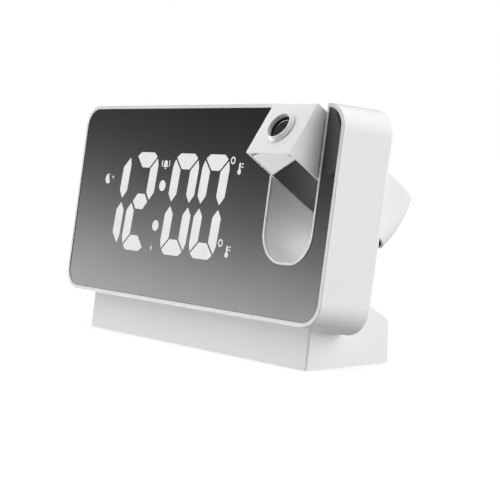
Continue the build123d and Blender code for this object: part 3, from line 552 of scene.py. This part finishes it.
def plates(name, outlines, material, place, body):
    """Thin plates, one per outline. place gives the point of (a, b) at a height over the face."""
    bm = bmesh.new()
    for outline in outlines:
        turned = zip(outline, outline[1:] + outline[:1])
        if sum(a[0] * b[1] - b[0] * a[1] for a, b in turned) < 0:
            outline = outline[::-1]
        front = [bm.verts.new(place(a, b, PLATE_PROUD)) for a, b in outline]
        back = [bm.verts.new(place(a, b, -PLATE_SUNK)) for a, b in outline]
        bm.faces.new(front)
        bm.faces.new(back[::-1])
        for i, corner in enumerate(front):
            bm.faces.new((corner, front[i - 1], back[i - 1], back[i]))
    bmesh.ops.triangulate(bm, faces=[f for f in bm.faces if len(f.verts) > 4])
    bmesh.ops.recalc_face_normals(bm, faces=bm.faces)
    piece = new_object(name, bm, material)
    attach(piece, body)


def on_panel(x, w, height):
    return at(x, PANEL_V - height, w)


SIGN_LINE = 0.5
SCALE_LINE = 0.55
DEGREE_LINE = 0.66
RAY_LINE = 0.45
HEAT_H = 5.0


def lit_piece(name, outlines, material):
    """Lit plates on the mirror panel, one per outline of (x, w)."""
    plates(name, outlines, material, on_panel, "clock_body")


def moon_sign():
    """A crescent and a star, for the night half of the day."""
    outer = arc(0, 0, 2.25, 55, 325)
    inner = arc(1.25, 0.35, 1.75, 300, 75)
    star = [(1.0 if k % 2 == 0 else 0.38) for k in range(8)]
    points = [(r * math.cos(math.pi * k / 4), r * math.sin(math.pi * k / 4)) for k, r in enumerate(star)]
    return [shifted(outer + inner, -1.4, 0), shifted(points, 2.6, 0.9)]


def bell_sign():
    """A bell that rings, for the alarm."""
    dome = arc(0, 0.35, 1.35, 0, 180, steps=12)
    bell = dome + [(-1.35, -0.7), (-2.0, -1.25), (2.0, -1.25), (1.35, -0.7)]
    rings = [line(arc(0, 0.3, 2.9, start, start + 56, steps=8), SIGN_LINE) for start in (-28, 152)]
    return [bell, arc(0, -1.6, 0.62, 180, 360, steps=10), *rings]


def heat_sign():
    """A degree ring and a thermometer beside its scale."""
    stem, bulb, top = 0.55, 1.15, HEAT_H / 2
    low = bulb - top
    neck = math.degrees(math.acos(stem / bulb))
    tube = arc(0, low, bulb, 180 - neck, 360 + neck) + arc(0, top - stem, stem, 0, 180, steps=10)
    ticks = [line([(1.15, w), (2.3, w)], SCALE_LINE) for w in (top - 0.5, top - 1.75)]
    halves = [arc(-5.0, top + 0.8, 1.28, start, start + 180, steps=12) for start in (0, 180)]
    ring = [line(half, DEGREE_LINE) for half in halves]
    return [tube, *ticks, *ring]


def bolt_sign():
    """A lightning bolt, for charging."""
    return [[(0.25, 1.75), (-0.85, -0.25), (-0.05, -0.1), (-0.3, -1.75), (0.85, 0.4), (0.05, 0.25)]]


SIGNS = (
    ("sign_night", moon_sign(), -66.1, 52.5),
    ("sign_alarm", bell_sign(), -22.4, 60.4),
    ("sign_heat_upper", heat_sign(), 30.9, 59.8),
    ("sign_heat_lower", heat_sign(), 29.6, 25.4),
    ("sign_charge", bolt_sign(), -25.45, 23.15),
)


def light_display():
    """The time and the small signs, as they glow through the mirror."""
    glow = segment_light()
    shapes = digit_segments()
    half = COLON_SPACE / 2
    places = [DISPLAY_X + x for x in (-half - PAIR_PITCH, -half, half, half + PAIR_PITCH)]
    for number, (x, lit) in enumerate(zip(places, TIME), 1):
        slanted = [[(px + SLANT * pw, pw) for px, pw in soften(shapes[key], SEGMENT_ROUND)] for key in lit]
        lit_piece(f"lit_digit_{number}", [shifted(s, x, DISPLAY_W) for s in slanted], glow)
    rises = [-COLON_DROP + side * COLON_PITCH / 2 for side in (-1, 1)]
    lit_piece("lit_colon", [disc(DISPLAY_X + SLANT * r, DISPLAY_W + r, COLON_R) for r in rises], glow)
    for name, outlines, x, w in SIGNS:
        lit_piece(name, [shifted(outline, x, w) for outline in outlines], glow)


# ---------------------------------------------------------------- prints and painted shade in screw recesses
KEY_LINE = 66.0
KEY_FACE_V = 25.6
KEY_XS = {"time_key": -48.0, "alarm_key": -35.0, "up_key": -22.0, "down_key": -9.0, "projector_key": 4.0}
PRINT_SIZE = 0.62  # against the signs of the display
REAR_SCREW_XS = (-84.5, -84.5, 43.73, 43.73, 84.5)
REAR_SCREW_WS = (8.0, 78.7, 78.7, 8.0, 8.0)
REAR_HEAD_V = 24.7
RECESS = 1.35  # arm of a screw's cross
RECESS_W = 0.5
BASE_SCREW_INSET = 2.3  # from the edge of the four screws' box to a screw's middle
# No two screws stop at the same turn: the first one's angle and the step to the next.
REAR_TURN, REAR_TURN_STEP = 20, 25
BASE_TURN, BASE_TURN_STEP = 15, 40


def clock_sign():
    """A clock face with its hands."""
    rim = [line(arc(0, 0, 2.1, start, start + 180, steps=12), SIGN_LINE) for start in (0, 180)]
    return [*rim, line([(0, -0.2), (0, 1.45)], SIGN_LINE), line([(-0.2, 0), (1.1, 0)], SIGN_LINE)]


def arrow_sign(turn):
    """A triangle that points up for 1 and down for -1."""
    return [[(-2.0, -1.3 * turn), (2.0, -1.3 * turn), (0, 1.7 * turn)]]


def beam_sign():
    """A lamp that throws its light."""
    box = [(-2.6, -0.9), (-0.9, -0.9), (-0.9, 0.9), (-2.6, 0.9)]
    rays = [line([(-0.1, 0.45 * k), (2.5, 1.6 * k)], RAY_LINE) for k in (-1, 0, 1)]
    return [box, *rays]


def printed_keys():
    """A small dark sign on each key, which moves with it."""
    ink = print_ink()
    signs = {
        "time_key": clock_sign(),
        "alarm_key": bell_sign(),
        "up_key": arrow_sign(1),
        "down_key": arrow_sign(-1),
        "projector_key": beam_sign(),
    }
    for key, outlines in signs.items():

        def on_key(a, b, height, middle=KEY_XS[key]):
            return at(middle - a * PRINT_SIZE, KEY_FACE_V + height, KEY_LINE + b * PRINT_SIZE)

        plates(f"print_{key}", outlines, ink, on_key, key)


def cross(turn):
    """A screw's cross recess, turned by this many degrees."""
    points = []
    for k in range(4):
        for a, b in ((RECESS, -RECESS_W / 2), (RECESS, RECESS_W / 2), (RECESS_W / 2, RECESS_W / 2)):
            t = math.radians(turn + 90 * k)
            points.append((a * math.cos(t) - b * math.sin(t), a * math.sin(t) + b * math.cos(t)))
    return points


def screw_recess_shade():
    """Painted shade: flat dark crosses on the heads of the rear and the base screws, for their cross
    recesses.
    """
    shade = recess_shade()

    def on_head(a, b, height):
        return at(a, REAR_HEAD_V + height, b)

    places = enumerate(zip(REAR_SCREW_XS, REAR_SCREW_WS))
    rear = [shifted(cross(REAR_TURN + REAR_TURN_STEP * i), x, w) for i, (x, w) in places]
    plates("rear_recess_shade", rear, shade, on_head, "clock_body")

    low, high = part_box("base_screws")

    def under_head(a, b, height):
        return Vector((a * MM, b * MM, low[2] - height * MM))

    xs = (low[0] / MM + BASE_SCREW_INSET, high[0] / MM - BASE_SCREW_INSET)
    ys = (low[1] / MM + BASE_SCREW_INSET, high[1] / MM - BASE_SCREW_INSET)
    places = enumerate((x, y) for x in xs for y in ys)
    base = [shifted(cross(BASE_TURN + BASE_TURN_STEP * i), x, y) for i, (x, y) in places]
    plates("base_recess_shade", base, shade, under_head, "clock_body")


# ---------------------------------------------------------------- lens ring
BEAM = BACK * -math.sin(ARM_TILT) + UP * math.cos(ARM_TILT)
CELL_HALF = 5.5  # half the lens cell's length along the beam
LENS_SET = 1.0  # from the cell's front down to the ring's foot
RETAINER_R = 4.15
RETAINER_W = 0.3
RETAINER_STEPS = 64
# The ring's section: its outer edge, the crown and where that lies across the width, and its inner edge.
EDGE_H = 0.16
CROWN_H = 0.22
CROWN_IN = 0.35
INNER_H = 0.05


def lens_retainer():
    """The thin bright ring that holds the lens in its cell."""
    low, high = (Vector(corner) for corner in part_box("lens_cell"))
    middle = (low + high) / 2 + BEAM * (CELL_HALF - LENS_SET) * MM
    across, along = RIGHT, BEAM.cross(RIGHT)
    outer, crown = [(0, 0), (0, EDGE_H)], (-RETAINER_W * CROWN_IN, CROWN_H)
    profile = [*outer, crown, (-RETAINER_W, INNER_H), (-RETAINER_W, 0)]
    bm = bmesh.new()
    rows = []
    for k in range(RETAINER_STEPS):
        t = math.tau * k / RETAINER_STEPS
        out = across * math.cos(t) + along * math.sin(t)
        section = [middle + (out * (RETAINER_R + r) + BEAM * rise) * MM for r, rise in profile]
        rows.append([bm.verts.new(point) for point in section])
    for k, row in enumerate(rows):
        after = rows[(k + 1) % len(rows)]
        for j in range(len(profile)):
            m = (j + 1) % len(profile)
            bm.faces.new((row[j], row[m], after[m], after[j]))
    bmesh.ops.recalc_face_normals(bm, faces=bm.faces)
    ring = new_object("lens_retainer", bm, bpy.data.materials["steel"])
    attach(ring, "lens_cell")


# ---------------------------------------------------------------- stage and light
FLOOR_SIZE = 8.0


def add_floor():
    bm = bmesh.new()
    bmesh.ops.create_grid(bm, x_segments=2, y_segments=2, size=FLOOR_SIZE)
    floor = new_object("floor", bm, floor_paint())
    floor.visible_glossy = False
    floor.visible_diffuse = False


def direction(azimuth, elevation):
    """A unit vector, azimuth in degrees from the front towards the right."""
    a, e = math.radians(azimuth), math.radians(elevation)
    return Vector((math.sin(a) * math.cos(e), -math.cos(a) * math.cos(e), math.sin(e)))


# Soft boxes around the clock: how bright, where, and the cosine at which each has faded out.
SOFT_BOXES = (
    (3.05, direction(128, 9), 0.56),
    (0.75, direction(171, 12), 0.58),
    (0.45, direction(-5, 8), 0.58),
    (1.85, direction(-45, 46), 0.58),
    (0.90, direction(0, 90), 0.58),
    (1.65, direction(-62, -32), 0.58),
)
# The glow that only reflections see, by the sine of the elevation. It is bright up to just over the horizon
# and falls off softly there to dark, with a little light again in the sky and a share of it underground.
GLOW = 3.2
GLOW_EDGE = 0.081  # where it has fallen to half
GLOW_SOFTNESS = 0.028
GLOW_DARK, GLOW_SKY = 0.13, 0.25
SKY_FADE = (0.3, 0.5)
GROUND_SHARE = 0.17
GROUND_FADE = (-0.35, -0.09)
# Behind the clock only a share of the glow is left. It fades by the direction's part towards the back.
BACK_SHARE = 0.06
BACK_FADE = (0.0, 0.4)
# Small lights that only reflections find: how bright, where, and how far they reach. The arm's inlay finds
# the first by way of the panel, and the lens the second.
SMALL_LIGHTS = (
    (13.4, direction(-65, -29), 0.30),
    (9.0, direction(-100, 25), 0.20),
)
SPOT_CORE = 0.8  # the share of its reach over which a small light is even


def soft_light(n, view):
    """The soft boxes, which light every surface but show in no reflection."""
    total = 0.0
    for bright, towards, edge in SOFT_BOXES:
        near = n.vector("DOT_PRODUCT", view, towards)
        total = n.math("ADD", n.span(near, 0.0, bright, edge, 1.0, smooth=True), total)
    return total


def mirrored_light(n, view):
    """The glow and the small lights, which only glossy reflections see."""
    parts = n.add("ShaderNodeSeparateXYZ")
    n.plug(view, parts.inputs[0])
    rise, depth = parts.outputs["Z"], parts.outputs["Y"]
    glow = n.math("MULTIPLY", n.soft_step(rise, GLOW_EDGE, GLOW_SOFTNESS), GLOW)
    glow = n.math("MULTIPLY", glow, n.span(rise, GROUND_SHARE, 1.0, *GROUND_FADE, smooth=True))
    glow = n.math("ADD", glow, n.span(rise, GLOW_DARK, GLOW_SKY, *SKY_FADE))
    seen = n.math("MULTIPLY", glow, n.span(depth, 1.0, BACK_SHARE, *BACK_FADE, smooth=True))
    for bright, towards, reach in SMALL_LIGHTS:
        away = n.vector("DISTANCE", view, towards)
        seen = n.math("MAXIMUM", seen, n.span(away, bright, 0.0, reach * SPOT_CORE, reach, smooth=True))
    return seen


def light_world():
    """White behind the clock, and the studio's lights for whatever the camera doesn't see directly."""
    world = bpy.data.worlds.new("studio")
    world.use_nodes = True
    world.cycles.sampling_method = "NONE"
    scene.world = world
    n = Nodes(world.node_tree)
    n.tree.nodes.clear()
    view = n.add("ShaderNodeTexCoord").outputs["Generated"]
    path = n.add("ShaderNodeLightPath")
    lit = n.mix(path.outputs["Is Glossy Ray"], soft_light(n, view), mirrored_light(n, view))
    seen = n.mix(path.outputs["Is Camera Ray"], lit, (1.0, 1.0, 1.0, 1.0))
    background = n.add("ShaderNodeBackground")
    n.plug(seen, background.inputs["Color"])
    n.plug(background.outputs[0], n.add("ShaderNodeOutputWorld").inputs["Surface"])


add_camera()
dress_nodes()
light_display()
printed_keys()
screw_recess_shade()
lens_retainer()
add_floor()
light_world()
